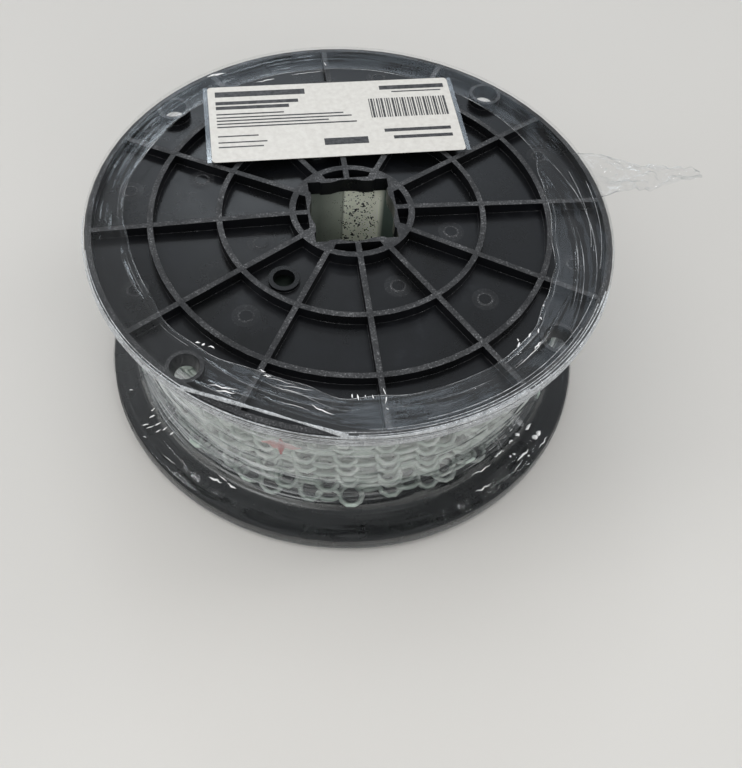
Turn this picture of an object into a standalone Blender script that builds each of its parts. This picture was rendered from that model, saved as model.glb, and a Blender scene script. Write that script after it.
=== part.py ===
"""A plastic reel of steel jack chain, lying on one flange and wrapped in clear film.

The reel's axis is +Z and the origin lies on it, halfway between the two flanges.
Twelve ribs run out from the hub of each flange, the first along +X.
The label lies on the upper flange, on the +Y side of the hub.
"""

import math

import bmesh
import bpy
from mathutils import Matrix, Vector

MM = 0.001

# Reel
REEL_RADIUS = 124.0 * MM
RIM_TOP = 50.3 * MM
RIM_THICKNESS = 6.5 * MM
RIM_BAND = 3.3 * MM
RIM_CHAMFER = 0.8 * MM
PLATE_THICKNESS = 2.0 * MM
RIB_WIDTH = 2.7 * MM
RIB_COUNT = 12
RING_RADII = (62.2 * MM, 94.0 * MM)
FLANGE_SEGMENTS = 72

# Tight film draws the rims together, so each flange is dished and its hub stands proud.
HUB_RISE = 3.5 * MM
PLATE_RISE = 2.1 * MM

# Hub
HUB_RADIUS = 29.6 * MM
HUB_RING_INNER = 26.6 * MM
HUB_POCKET_INNER = 21.1 * MM
HUB_POCKET_END = 26
BLANK_BORE = 12.0 * MM
SOCKET_WALL = 2.4 * MM
SOCKET_LENGTH = 10.0 * MM

# Arbor hole: half its width at its flats and at the reliefs in its corners, the two places
# along a side between which it steps from one to the other, and the circle over its middle
ARBOR_HALF_SIDE = 18.4 * MM
ARBOR_RELIEF_HALF_SIDE = 19.2 * MM
ARBOR_STEP = (12.7 * MM, 13.5 * MM)
ARBOR_ROUND_RADIUS = 20.1 * MM

# Holes
RIM_HOLE_CIRCLE = 114.6 * MM
RIM_HOLE_ANGLES = (45, 135, 225, 315)
RIM_HOLE_TOP_RADIUS = 6.6 * MM
RIM_HOLE_LOW_RADIUS = 4.8 * MM
RIM_COLLAR_RADIUS = 8.3 * MM
START_HOLE_CIRCLE = 50.0 * MM
START_HOLE_ANGLE = 225
START_HOLE_RADIUS = 4.95 * MM
START_BOSS_RADIUS = 7.2 * MM
START_BOSS_HEIGHT = 1.4 * MM
HOLE_SEGMENTS = 24

# Core tube and chain
GAP = 0.3 * MM
TUBE_INNER = 27.2 * MM
TUBE_WALL = 3.0 * MM
TUBE_OUTER = TUBE_INNER + TUBE_WALL
TUBE_SEGMENTS = 48
SOCKET_INNER = TUBE_OUTER + GAP
SOCKET_OUTER = SOCKET_INNER + SOCKET_WALL
WINDING_BORE = SOCKET_OUTER + GAP
WINDING_RADIUS = 107.0 * MM
WINDING_TURNS_HIGH = 9
WINDING_TURNS_DEEP = 6
WINDING_SMOOTH_ANGLE = 80
TURN_GROOVE = 1.8 * MM

# One outer turn of chain: how far up its height each point lies, and how deep it is sunk
TURN_PROFILE = (
    (0.0, 6.0 * MM),
    (0.14, 2.6 * MM),
    (0.34, 0.3 * MM),
    (0.5, 0.0),
    (0.66, 0.3 * MM),
    (0.86, 2.6 * MM),
)

# Red tie on the loose end of the chain
TIE_ANGLE = 246.8
TIE_HEIGHT_ON_REEL = 9.5 * MM
TIE_HALF_WIDTH = 8.2 * MM
TIE_HALF_HEIGHT = 8.5 * MM
TIE_WAIST = 2.2 * MM
TIE_PINCH = 1.5
TIE_COLUMNS = 6
TIE_ROWS = 2
TIE_THICKNESS = 0.6 * MM

# Film. Its own pull draws it in between the rims until it lies on the chain.
FILM_THICKNESS = 0.45 * MM
FILM_LAP_INNER = 103.0 * MM
FILM_CLEARANCE = 0.35 * MM
FILM_WAIST = 108.4 * MM
FILM_WAIST_HALF_HEIGHT = 32.7 * MM
FILM_SKIRT = (
    (124.05 * MM, 43.85 * MM),
    (123.2 * MM, 43.45 * MM),
    (116.0 * MM, 42.3 * MM),
    (111.4 * MM, 38.9 * MM),
    (FILM_WAIST, 33.3 * MM),
)

# Torn tail of the film, which leaves it on the outside of the upper rim
TAIL_ROOT_RADIUS = 125.25 * MM
TAIL_ROOT_ANGLES = (2.5, 17.5)
TAIL_ROOT_HEIGHT = 46.0 * MM
TAIL_TIP = Vector((183.5 * MM, 21.0 * MM, 42.0 * MM))
TAIL_TIP_HALF_WIDTH = 2.0 * MM
TAIL_RIPPLE = 1.6 * MM
TAIL_EASE = 0.85
TAIL_LENGTH_STEPS = 9
TAIL_WIDTH_STEPS = 4

# Label
LABEL_WIDTH = 127.0 * MM
LABEL_MIDDLE_X = -0.8 * MM
LABEL_NEAR_Y = 35.8 * MM
LABEL_FAR_Y = 93.0 * MM
LABEL_NEAR_HEIGHT = 53.98 * MM
LABEL_FAR_HEIGHT = 52.2 * MM
LABEL_THICKNESS = 0.3 * MM

INNER_FACE = RIM_TOP - RIM_THICKNESS
POCKET_FLOOR = INNER_FACE + PLATE_THICKNESS
ABOVE_ALL = RIM_TOP + 20.0 * MM
BELOW_ALL = -ABOVE_ALL


def clear_scene():
    for item in list(bpy.data.objects):
        bpy.data.objects.remove(item, do_unlink=True)


def make_material(name, colour, roughness, metallic=0.0, alpha=1.0):
    material = bpy.data.materials.new(name)
    material.use_nodes = True
    shader = material.node_tree.nodes["Principled BSDF"]
    shader.inputs["Base Color"].default_value = (*colour, 1.0)
    shader.inputs["Roughness"].default_value = roughness
    shader.inputs["Metallic"].default_value = metallic
    shader.inputs["Alpha"].default_value = alpha
    return material


def add_object(name, bm, material=None):
    mesh = bpy.data.meshes.new(name)
    bm.to_mesh(mesh)
    bm.free()
    if material is not None:
        mesh.materials.append(material)
    obj = bpy.data.objects.new(name, mesh)
    bpy.context.scene.collection.objects.link(obj)
    return obj


def shade_round(obj, angle=35):
    obj.data.shade_smooth()
    obj.data.set_sharp_from_angle(angle=math.radians(angle))


def turned(profile, segments):
    """A closed (radius, height) outline spun round the Z axis."""
    bm = bmesh.new()
    points = [bm.verts.new((radius, 0.0, height)) for radius, height in profile]
    edges = [bm.edges.new((a, b)) for a, b in zip(points, points[1:] + points[:1])]
    bmesh.ops.spin(
        bm, geom=points + edges, cent=(0, 0, 0), axis=(0, 0, 1), dvec=(0, 0, 0),
        angle=2 * math.pi, steps=segments, use_merge=True, use_duplicate=False,
    )
    bmesh.ops.remove_doubles(bm, verts=bm.verts, dist=1e-6)
    bmesh.ops.recalc_face_normals(bm, faces=bm.faces)
    return bm


def add_prism(bm, outline, low, high):
    """A straight prism on a flat (x, y) outline, added to a mesh."""
    base = bm.faces.new([bm.verts.new((x, y, low)) for x, y in outline])
    lifted = bmesh.ops.extrude_face_region(bm, geom=[base])["geom"]
    top = [item for item in lifted if isinstance(item, bmesh.types.BMVert)]
    bmesh.ops.translate(bm, verts=top, vec=(0, 0, high - low))


def add_cone(bm, centre, low_radius, top_radius, low, high):
    place = Matrix.Translation((centre[0], centre[1], (low + high) / 2))
    bmesh.ops.create_cone(
        bm, cap_ends=True, segments=HOLE_SEGMENTS, radius1=low_radius,
        radius2=top_radius, depth=high - low, matrix=place,
    )


def on_circle(radius, degrees):
    angle = math.radians(degrees)
    return radius * math.cos(angle), radius * math.sin(angle)


def dish(radius):
    """How far up the flange's rise a radius lies: 1 at the hub, 0 at the rim."""
    return (REEL_RADIUS - max(radius, HUB_RADIUS)) / (REEL_RADIUS - HUB_RADIUS)


def rib_top(radius):
    return RIM_TOP + HUB_RISE * dish(radius)


def inner_face(radius):
    return INNER_FACE + PLATE_RISE * dish(radius)


def combine(obj, bm, operation):
    """Boolean with a tool mesh, applied, so that later steps can shape the result."""
    bmesh.ops.recalc_face_normals(bm, faces=bm.faces)
    tool = add_object("tool", bm)
    tool.hide_render = True
    tool.display_type = "WIRE"
    modifier = obj.modifiers.new("cut", "BOOLEAN")
    modifier.operation = operation
    modifier.object = tool
    modifier.use_self = False
    graph = bpy.context.evaluated_depsgraph_get()
    result = bpy.data.meshes.new_from_object(obj.evaluated_get(graph))
    obj.modifiers.clear()
    obj.data = result
    bpy.data.objects.remove(tool, do_unlink=True)


def sector_outline(inner, outer, start, end):
    """One pocket between two ribs of even width, with an arc point every few degrees."""
    step = 360 / FLANGE_SEGMENTS
    half = RIB_WIDTH / 2
    outline = []
    for radius, reverse in ((outer, False), (inner, True)):
        trim = math.degrees(math.asin(half / radius))
        inside = [start + step * n for n in range(1, round((end - start) / step))]
        angles = [start + trim] + inside + [end - trim]
        if reverse:
            angles.reverse()
        outline += [on_circle(radius, angle) for angle in angles]
    return outline


def pocket_cutters():
    """The three rings of pockets between the ribs."""
    half = RIB_WIDTH / 2
    edges = [HUB_RADIUS]
    for radius in RING_RADII:
        edges += [radius - half, radius + half]
    edges.append(REEL_RADIUS - RIM_BAND)
    step = 360 / RIB_COUNT
    bm = bmesh.new()
    for inner, outer in zip(edges[0::2], edges[1::2]):
        for n in range(RIB_COUNT):
            outline = sector_outline(inner, outer, n * step, (n + 1) * step)
            add_prism(bm, outline, POCKET_FLOOR, ABOVE_ALL)
    return bm


def hub_pocket_outline():
    """One of the eight narrow pockets between the arbor's wall and the hub ring. It ends
    where the wide web in the hub's corner begins."""
    half = RIB_WIDTH / 2
    end = HUB_POCKET_INNER * math.tan(math.radians(HUB_POCKET_END))
    low = math.degrees(math.asin(half / HUB_RING_INNER))
    outline = [(HUB_POCKET_INNER, end), (HUB_POCKET_INNER, half)]
    for n in range(4):
        outline.append(on_circle(HUB_RING_INNER, low + (HUB_POCKET_END - low) * n / 3))
    return outline


def hub_pocket_cutters():
    bm = bmesh.new()
    outline = hub_pocket_outline()
    for quarter in range(4):
        turn = Matrix.Rotation(quarter * math.pi / 2, 2)
        for side in (1, -1):
            points = [turn @ Vector((x, y * side)) for x, y in outline]
            add_prism(bm, [tuple(point) for point in points], POCKET_FLOOR, ABOVE_ALL)
    return bm


def collar_mesh():
    """Collars of the rim holes, level with the ribs, and the low boss of the start hole."""
    bm = bmesh.new()
    sunk = POCKET_FLOOR - PLATE_THICKNESS / 2
    for angle in RIM_HOLE_ANGLES:
        centre = on_circle(RIM_HOLE_CIRCLE, angle)
        add_cone(bm, centre, RIM_COLLAR_RADIUS, RIM_COLLAR_RADIUS, sunk, RIM_TOP - 0.2 * MM)
    centre = on_circle(START_HOLE_CIRCLE, START_HOLE_ANGLE)
    top = POCKET_FLOOR + START_BOSS_HEIGHT
    add_cone(bm, centre, START_BOSS_RADIUS, START_BOSS_RADIUS, sunk, top)
    return bm


def hole_cutters():
    """Tapered rim holes and the straight start hole."""
    bm = bmesh.new()
    slope = (RIM_HOLE_TOP_RADIUS - RIM_HOLE_LOW_RADIUS) / RIM_THICKNESS
    past = 1.0 * MM
    for angle in RIM_HOLE_ANGLES:
        centre = on_circle(RIM_HOLE_CIRCLE, angle)
        low_radius = RIM_HOLE_LOW_RADIUS - slope * past
        top_radius = RIM_HOLE_TOP_RADIUS + slope * past
        add_cone(bm, centre, low_radius, top_radius, INNER_FACE - past, RIM_TOP + past)
    centre = on_circle(START_HOLE_CIRCLE, START_HOLE_ANGLE)
    add_cone(bm, centre, START_HOLE_RADIUS, START_HOLE_RADIUS, INNER_FACE - past, ABOVE_ALL)
    return bm


def arbor_outline():
    """A square hole with a circle laid over it, which bows out its sides, and with a shallow
    relief in each corner."""
    side = ARBOR_HALF_SIDE
    deep = ARBOR_RELIEF_HALF_SIDE
    first, last = ARBOR_STEP
    bow = math.degrees(math.acos(side / ARBOR_ROUND_RADIUS))
    arc = [on_circle(ARBOR_ROUND_RADIUS, bow * (n / 2 - 1)) for n in range(5)]
    outline = []
    for quarter in range(4):
        turn = Matrix.Rotation(quarter * math.pi / 2, 2)
        before = [(deep, -last), (side, -first)]
        after = [(side, first), (deep, last), (deep, deep)]
        outline += [tuple(turn @ Vector(point)) for point in before + arc + after]
    return outline


def arbor_cutter():
    bm = bmesh.new()
    add_prism(bm, arbor_outline(), BELOW_ALL, ABOVE_ALL)
    return bm


def dish_flange(obj):
    """Raises the flat flange towards its hub, the ribs more than the plate. Its faces are
    cut into triangles first, while they are still flat."""
    bm = bmesh.new()
    bm.from_mesh(obj.data)
    bmesh.ops.dissolve_degenerate(bm, edges=bm.edges, dist=1e-6)
    bmesh.ops.triangulate(bm, faces=bm.faces)
    for vert in bm.verts:
        share = (vert.co.z - POCKET_FLOOR) / (RIM_TOP - POCKET_FLOOR)
        rise = PLATE_RISE + (HUB_RISE - PLATE_RISE) * min(max(share, 0.0), 1.0)
        vert.co.z += rise * dish(vert.co.xy.length)
    bm.to_mesh(obj.data)
    bm.free()


def make_top_flange(material):
    profile = [
        (BLANK_BORE, INNER_FACE),
        (SOCKET_INNER, INNER_FACE),
        (SOCKET_INNER, INNER_FACE - SOCKET_LENGTH),
        (SOCKET_OUTER, INNER_FACE - SOCKET_LENGTH),
        (SOCKET_OUTER, INNER_FACE),
        (REEL_RADIUS - RIM_CHAMFER, INNER_FACE),
        (REEL_RADIUS, INNER_FACE + RIM_CHAMFER),
        (REEL_RADIUS, RIM_TOP - RIM_CHAMFER),
        (REEL_RADIUS - RIM_CHAMFER, RIM_TOP),
        (HUB_RADIUS, RIM_TOP),
        (BLANK_BORE, RIM_TOP),
    ]
    flange = add_object("top_flange", turned(profile, FLANGE_SEGMENTS))
    combine(flange, pocket_cutters(), "DIFFERENCE")
    combine(flange, collar_mesh(), "UNION")
    combine(flange, hub_pocket_cutters(), "DIFFERENCE")
    combine(flange, hole_cutters(), "DIFFERENCE")
    combine(flange, arbor_cutter(), "DIFFERENCE")
    dish_flange(flange)
    flange.data.materials.clear()
    flange.data.materials.append(material)
    shade_round(flange)
    return flange


def make_bottom_flange(top_flange, material):
    """The same moulding turned over, so that its ribs face down."""
    bm = bmesh.new()
    bm.from_mesh(top_flange.data)
    bmesh.ops.scale(bm, vec=(1, 1, -1), verts=bm.verts)
    bmesh.ops.reverse_faces(bm, faces=bm.faces)
    flange = add_object("bottom_flange", bm, material)
    shade_round(flange)
    return flange


def make_core_tube(material):
    """The paperboard tube, pushed into the round socket of either flange."""
    half = inner_face(SOCKET_OUTER) - GAP
    profile = [(TUBE_INNER, -half), (TUBE_OUTER, -half), (TUBE_OUTER, half), (TUBE_INNER, half)]
    tube = add_object("core_tube", turned(profile, TUBE_SEGMENTS), material)
    shade_round(tube)
    return tube


def make_chain_winding(material):
    """The wound chain as one turned body, with its turns grooved into ends and outside."""
    deep_pitch = (WINDING_RADIUS - WINDING_BORE) / WINDING_TURNS_DEEP
    end = []
    for n in range(WINDING_TURNS_DEEP):
        groove = WINDING_BORE + deep_pitch * n
        crest = groove + deep_pitch / 2
        end.append((groove, inner_face(groove) - GAP - TURN_GROOVE))
        end.append((crest, inner_face(crest) - GAP))
    half = inner_face(WINDING_RADIUS) - GAP - TURN_GROOVE
    high_pitch = 2 * half / WINDING_TURNS_HIGH
    side = []
    for n in range(WINDING_TURNS_HIGH):
        low = -half + high_pitch * n
        for share, sunk in TURN_PROFILE:
            side.append((WINDING_RADIUS - sunk, low + high_pitch * share))
    side.append((WINDING_RADIUS - TURN_PROFILE[0][1], half))
    below = [(radius, -height) for radius, height in end]
    profile = below + side + end[::-1]
    winding = add_object("chain_winding", turned(profile, TUBE_SEGMENTS), material)
    shade_round(winding, WINDING_SMOOTH_ANGLE)
    return winding


def make_end_tie(material):
    """A pinched red strip, bow-tie shaped, lying on the outside of the winding."""
    inside = WINDING_RADIUS + GAP
    bm = bmesh.new()
    bmesh.ops.create_grid(bm, x_segments=TIE_COLUMNS, y_segments=TIE_ROWS, size=1.0)
    for vert in bm.verts:
        across, up = vert.co.x, vert.co.y
        swell = (1 - abs(across)) ** TIE_PINCH
        half_height = TIE_WAIST + (TIE_HALF_HEIGHT - TIE_WAIST) * swell
        angle = math.radians(TIE_ANGLE) + across * TIE_HALF_WIDTH / inside
        height = TIE_HEIGHT_ON_REEL + up * half_height
        vert.co = (inside * math.cos(angle), inside * math.sin(angle), height)
    thicken(bm, TIE_THICKNESS, outward_from_axis)
    return add_object("end_tie", bm, material)


def thicken(bm, thickness, direction):
    """Gives a sheet its thickness by extruding it along a direction at each point."""
    base = list(bm.faces)
    lifted = bmesh.ops.extrude_face_region(bm, geom=base, use_keep_orig=True)["geom"]
    moved = [item for item in lifted if isinstance(item, bmesh.types.BMVert)]
    for vert in moved:
        vert.co += direction(vert.co) * thickness
    bmesh.ops.recalc_face_normals(bm, faces=bm.faces)


def outward_from_axis(point):
    return Vector((point.x, point.y, 0.0)).normalized()


def straight_up(point):
    return Vector((0.0, 0.0, 1.0))


def make_film_tail(material):
    """The torn end of the film: a rippled tongue that leaves the rim and narrows to a tip."""
    first, last = (math.radians(angle) for angle in TAIL_ROOT_ANGLES)
    bm = bmesh.new()
    bmesh.ops.create_grid(
        bm, x_segments=TAIL_LENGTH_STEPS, y_segments=TAIL_WIDTH_STEPS, size=1.0,
    )
    for vert in bm.verts:
        along = (vert.co.x + 1) / 2
        across = (vert.co.y + 1) / 2
        angle = first + (last - first) * across
        root = Vector((
            TAIL_ROOT_RADIUS * math.cos(angle),
            TAIL_ROOT_RADIUS * math.sin(angle),
            TAIL_ROOT_HEIGHT,
        ))
        tip = TAIL_TIP + Vector((0.0, (2 * across - 1) * TAIL_TIP_HALF_WIDTH, 0.0))
        ease = along ** TAIL_EASE
        ripple = TAIL_RIPPLE * math.sin(3 * math.pi * along) * math.cos(2 * math.pi * across)
        vert.co = root.lerp(tip, ease) + Vector((0.0, 0.0, ripple))
    thicken(bm, FILM_THICKNESS, straight_up)
    tail = add_object("film_tail", bm, material)
    shade_round(tail)
    return tail


def offset_line(line, distance):
    """The points of a line moved sideways, to its left, by an even distance."""
    moved = []
    for n, point in enumerate(line):
        before = Vector(line[max(n - 1, 0)])
        after = Vector(line[min(n + 1, len(line) - 1)])
        here = Vector(point)
        arms = [arm.normalized() for arm in (here - before, after - here) if arm.length > 0]
        normals = [Vector((-arm.y, arm.x)) for arm in arms]
        middle = sum(normals, Vector((0.0, 0.0))).normalized()
        moved.append(tuple(here + middle * distance / middle.dot(normals[0])))
    return moved


def make_wrap_film(material):
    """The film where it lies round the chain."""
    outside = FILM_WAIST + FILM_THICKNESS
    half = FILM_WAIST_HALF_HEIGHT
    profile = [(FILM_WAIST, -half), (outside, -half), (outside, half), (FILM_WAIST, half)]
    film = add_object("wrap_film", turned(profile, FLANGE_SEGMENTS), material)
    shade_round(film)
    return film


def make_film_over_rim(name, side, material):
    """The same film going from the chain out to a rim, round it and back over the ribs."""
    outside = REEL_RADIUS + FILM_CLEARANCE
    line = [
        (FILM_LAP_INNER, rib_top(FILM_LAP_INNER) + GAP),
        (outside, RIM_TOP + GAP),
        (outside, INNER_FACE + RIM_CHAMFER),
    ]
    line += FILM_SKIRT
    profile = line + offset_line(line, FILM_THICKNESS)[::-1]
    film = add_object(
        name, turned([(r, side * h) for r, h in profile], FLANGE_SEGMENTS), material)
    shade_round(film)
    return film


def make_label(material):
    """A paper rectangle lying over the ribs and, at its far corners, over the film."""
    left = LABEL_MIDDLE_X - LABEL_WIDTH / 2
    right = LABEL_MIDDLE_X + LABEL_WIDTH / 2
    bm = bmesh.new()
    corners = [
        (left, LABEL_NEAR_Y, LABEL_NEAR_HEIGHT),
        (right, LABEL_NEAR_Y, LABEL_NEAR_HEIGHT),
        (right, LABEL_FAR_Y, LABEL_FAR_HEIGHT),
        (left, LABEL_FAR_Y, LABEL_FAR_HEIGHT),
    ]
    bm.faces.new([bm.verts.new(corner) for corner in corners])
    thicken(bm, LABEL_THICKNESS, straight_up)
    return add_object("label", bm, material)


def build():
    clear_scene()
    black_plastic = make_material("black_moulded_plastic", (0.018, 0.019, 0.021), 0.42)
    paperboard = make_material("grey_paperboard", (0.24, 0.25, 0.24), 0.75)
    zinc = make_material("zinc_plated_steel", (0.52, 0.55, 0.53), 0.34, metallic=1.0)
    clear_film = make_material("clear_stretch_film", (0.85, 0.87, 0.88), 0.08, alpha=0.25)
    paper = make_material("white_paper", (0.80, 0.79, 0.76), 0.6)
    red_plastic = make_material("red_plastic_tie", (0.55, 0.05, 0.05), 0.4)

    top_flange = make_top_flange(black_plastic)
    make_bottom_flange(top_flange, black_plastic)
    make_core_tube(paperboard)
    make_chain_winding(zinc)
    make_end_tie(red_plastic)
    make_wrap_film(clear_film)
    make_film_over_rim("film_over_top_rim", 1, clear_film)
    make_film_over_rim("film_over_bottom_rim", -1, clear_film)
    make_film_tail(clear_film)
    make_label(paper)


build()
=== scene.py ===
"""Looks of a black plastic reel of zinc-plated jack chain, wrapped in clear stretch film."""

import math

import bmesh
import bpy
from mathutils import Matrix, Vector, geometry, noise


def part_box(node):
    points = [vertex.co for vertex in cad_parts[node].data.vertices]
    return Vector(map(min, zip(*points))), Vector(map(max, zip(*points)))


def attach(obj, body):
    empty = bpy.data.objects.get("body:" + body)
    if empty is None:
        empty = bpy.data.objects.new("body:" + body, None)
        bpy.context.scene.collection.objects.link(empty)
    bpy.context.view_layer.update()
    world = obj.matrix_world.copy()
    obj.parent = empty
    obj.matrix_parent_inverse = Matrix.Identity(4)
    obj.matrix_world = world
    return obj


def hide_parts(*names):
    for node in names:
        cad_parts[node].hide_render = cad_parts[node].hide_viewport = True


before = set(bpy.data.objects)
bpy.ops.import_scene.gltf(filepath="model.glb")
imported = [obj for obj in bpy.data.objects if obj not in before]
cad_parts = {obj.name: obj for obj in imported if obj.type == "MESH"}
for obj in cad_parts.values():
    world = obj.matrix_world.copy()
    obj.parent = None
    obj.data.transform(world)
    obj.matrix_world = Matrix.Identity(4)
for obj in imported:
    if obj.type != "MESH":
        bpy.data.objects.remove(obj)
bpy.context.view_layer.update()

MM = 0.001

# Reel, as the solids have it
REEL_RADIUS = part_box("top_flange")[1][0]
HUB_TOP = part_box("top_flange")[1][2]
FLOOR_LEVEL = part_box("bottom_flange")[0][2]
HUB_RISE = 3.5 * MM
PLATE_RISE = 2.1 * MM
RIM_TOP = HUB_TOP - HUB_RISE
RIM_THICKNESS = 6.5 * MM
PLATE_THICKNESS = 2.0 * MM
POCKET_FLOOR = RIM_TOP - RIM_THICKNESS + PLATE_THICKNESS
HUB_RADIUS = 29.6 * MM
TUBE_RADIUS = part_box("core_tube")[1][0]

# Chain: size 12 single jack chain
LINK_WIRE = 2.67 * MM
LINK_PITCH = 19.05 * MM
LINK_LOOP = (LINK_PITCH + LINK_WIRE) / 4
CHAIN_RADIUS = 107.0 * MM

# Camera, fitted to the photo
CAMERA_PLACE = Vector((-57.5, -335.7, 399.8)) * MM
CAMERA_AZIMUTH = math.radians(12.57)
CAMERA_TILT = math.radians(55.08)
CAMERA_ROLL = math.radians(5.71)
CAMERA_LENS = 47.7


def linear(hex_colour):
    """An sRGB hex colour as linear red, green and blue, with full alpha."""
    values = [int(hex_colour[n:n + 2], 16) / 255 for n in (1, 3, 5)]
    values = [v / 12.92 if v <= 0.04045 else ((v + 0.055) / 1.055) ** 2.4 for v in values]
    return (*values, 1.0)


def add_node(tree, kind, settings=None, inputs=None):
    """Adds a node with its settings, and gives its inputs values or links."""
    made = tree.nodes.new(kind)
    for name, value in (settings or {}).items():
        setattr(made, name, value)
    for key, value in (inputs or {}).items():
        if isinstance(value, bpy.types.NodeSocket):
            tree.links.new(value, made.inputs[key])
        else:
            made.inputs[key].default_value = value
    return made


def per(millimetres):
    """A pattern's scale for features of this size."""
    return 1 / (millimetres * MM)


def object_place(tree):
    return add_node(tree, "ShaderNodeTexCoord").outputs["Object"]


def carried(tree, name):
    """A value that the piece's own mesh carries."""
    return add_node(tree, "ShaderNodeAttribute", {"attribute_name": name}).outputs["Fac"]


def cloud(tree, place, scale, detail, roughness=0.5):
    return add_node(tree, "ShaderNodeTexNoise", None, {
        "Vector": place, "Scale": scale, "Detail": detail, "Roughness": roughness}).outputs["Fac"]


def ramp(tree, value, *stops):
    """A value's colour between stops, each a place from 0 to 1 and a grey value or hex colour."""
    made = add_node(tree, "ShaderNodeValToRGB", None, {"Fac": value})
    elements = made.color_ramp.elements
    while len(elements) < len(stops):
        elements.new(1.0)
    for element, (place, shade) in zip(elements, stops):
        element.position = place
        element.color = linear(shade) if isinstance(shade, str) else (shade, shade, shade, 1.0)
    return made.outputs["Color"]


def calculate(tree, operation, *values, clamp=False):
    return add_node(tree, "ShaderNodeMath", {"operation": operation, "use_clamp": clamp},
                    dict(enumerate(values))).outputs[0]


def rescale(tree, value, low, high, start=0.0, end=1.0):
    """Takes a value from the range of start to end to that of low to high."""
    return add_node(tree, "ShaderNodeMapRange", None, {
        "Value": value, "From Min": start, "From Max": end, "To Min": low, "To Max": high,
    }).outputs["Result"]


def bumped(tree, height, strength, distance):
    return add_node(tree, "ShaderNodeBump", None, {
        "Strength": strength, "Distance": distance, "Height": height}).outputs["Normal"]


def mixed(tree, share, first, second):
    return add_node(tree, "ShaderNodeMix", {"data_type": "RGBA"}, {
        "Factor": share, "A": first, "B": second}).outputs["Result"]


def new_material(name):
    material = bpy.data.materials.new(name)
    material.use_nodes = True
    tree = material.node_tree
    return material, tree, tree.nodes["Principled BSDF"]


def set_shader(tree, shader, **inputs):
    for key, value in inputs.items():
        socket = shader.inputs[key.replace("_", " ")]
        if isinstance(value, bpy.types.NodeSocket):
            tree.links.new(value, socket)
        else:
            socket.default_value = value


def moulded_black_polystyrene():
    """Injection-moulded high-impact polystyrene: satin black, smudged by handling on its
    flat floors, with rib tops rubbed to a dry black peppered with pale grains, and a painted
    highlight of pale grey on the small fillets at the feet of the walls."""
    material, tree, shader = new_material("moulded_black_polystyrene")
    place = object_place(tree)
    wear_and_highlight = carried(tree, "wear_and_highlight")
    grain = cloud(tree, place, per(0.9), 3.0, 0.75)
    smudge = cloud(tree, place, per(26), 6.0, 0.62)
    patches = ramp(tree, cloud(tree, place, per(14), 4.0), (0.38, 0.35), (0.66, 1.0))
    grains = ramp(tree, grain, (0.5, 0.1), (0.6, 0.3), (0.7, 1.0))
    # rub carries the rubbing of rib tops and, on the fillets, a painted highlight
    rub = calculate(tree, "MULTIPLY", calculate(tree, "MULTIPLY", wear_and_highlight, patches), grains)
    body = ramp(tree, smudge, (0.35, "#0a0b0c"), (0.6, "#101114"), (0.72, "#1d1f22"))
    rubbed_rough = calculate(tree, "MULTIPLY", wear_and_highlight, 0.2)
    rough = calculate(tree, "MULTIPLY_ADD", smudge, 0.24, rubbed_rough)
    set_shader(tree, shader, Base_Color=mixed(tree, rub, body, linear("#9a9b9d")), IOR=1.46,
               Roughness=calculate(tree, "ADD", rough, 0.17),
               Normal=bumped(tree, grain, 0.12, 0.2 * MM))
    return material


def zinc_plated_wire():
    """Steel wire with bright zinc plating and a clear blue-green passivate: a soft sheen
    with dull greyer patches."""
    material, tree, shader = new_material("zinc_plated_wire")
    patches = cloud(tree, object_place(tree), per(8), 3.0)
    colour = ramp(tree, patches, (0.3, "#a3b3a9"), (0.55, "#ccd7cf"), (0.75, "#f1f5f1"))
    set_shader(tree, shader, Base_Color=colour, Metallic=0.3,
               Roughness=rescale(tree, patches, 0.3, 0.52))
    return material


def shaded_inner_turns():
    """The chain's deeper turns, painted dark as shade, which only show as dark gaps between
    the outer links.
    """
    material, tree, shader = new_material("shaded_inner_turns")
    patches = cloud(tree, object_place(tree), per(6.25), 4.0)
    colour = ramp(tree, patches, (0.35, "#101512"), (0.7, "#363f3a"))
    set_shader(tree, shader, Base_Color=colour, Metallic=0.6, Roughness=0.55)
    return material


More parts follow.
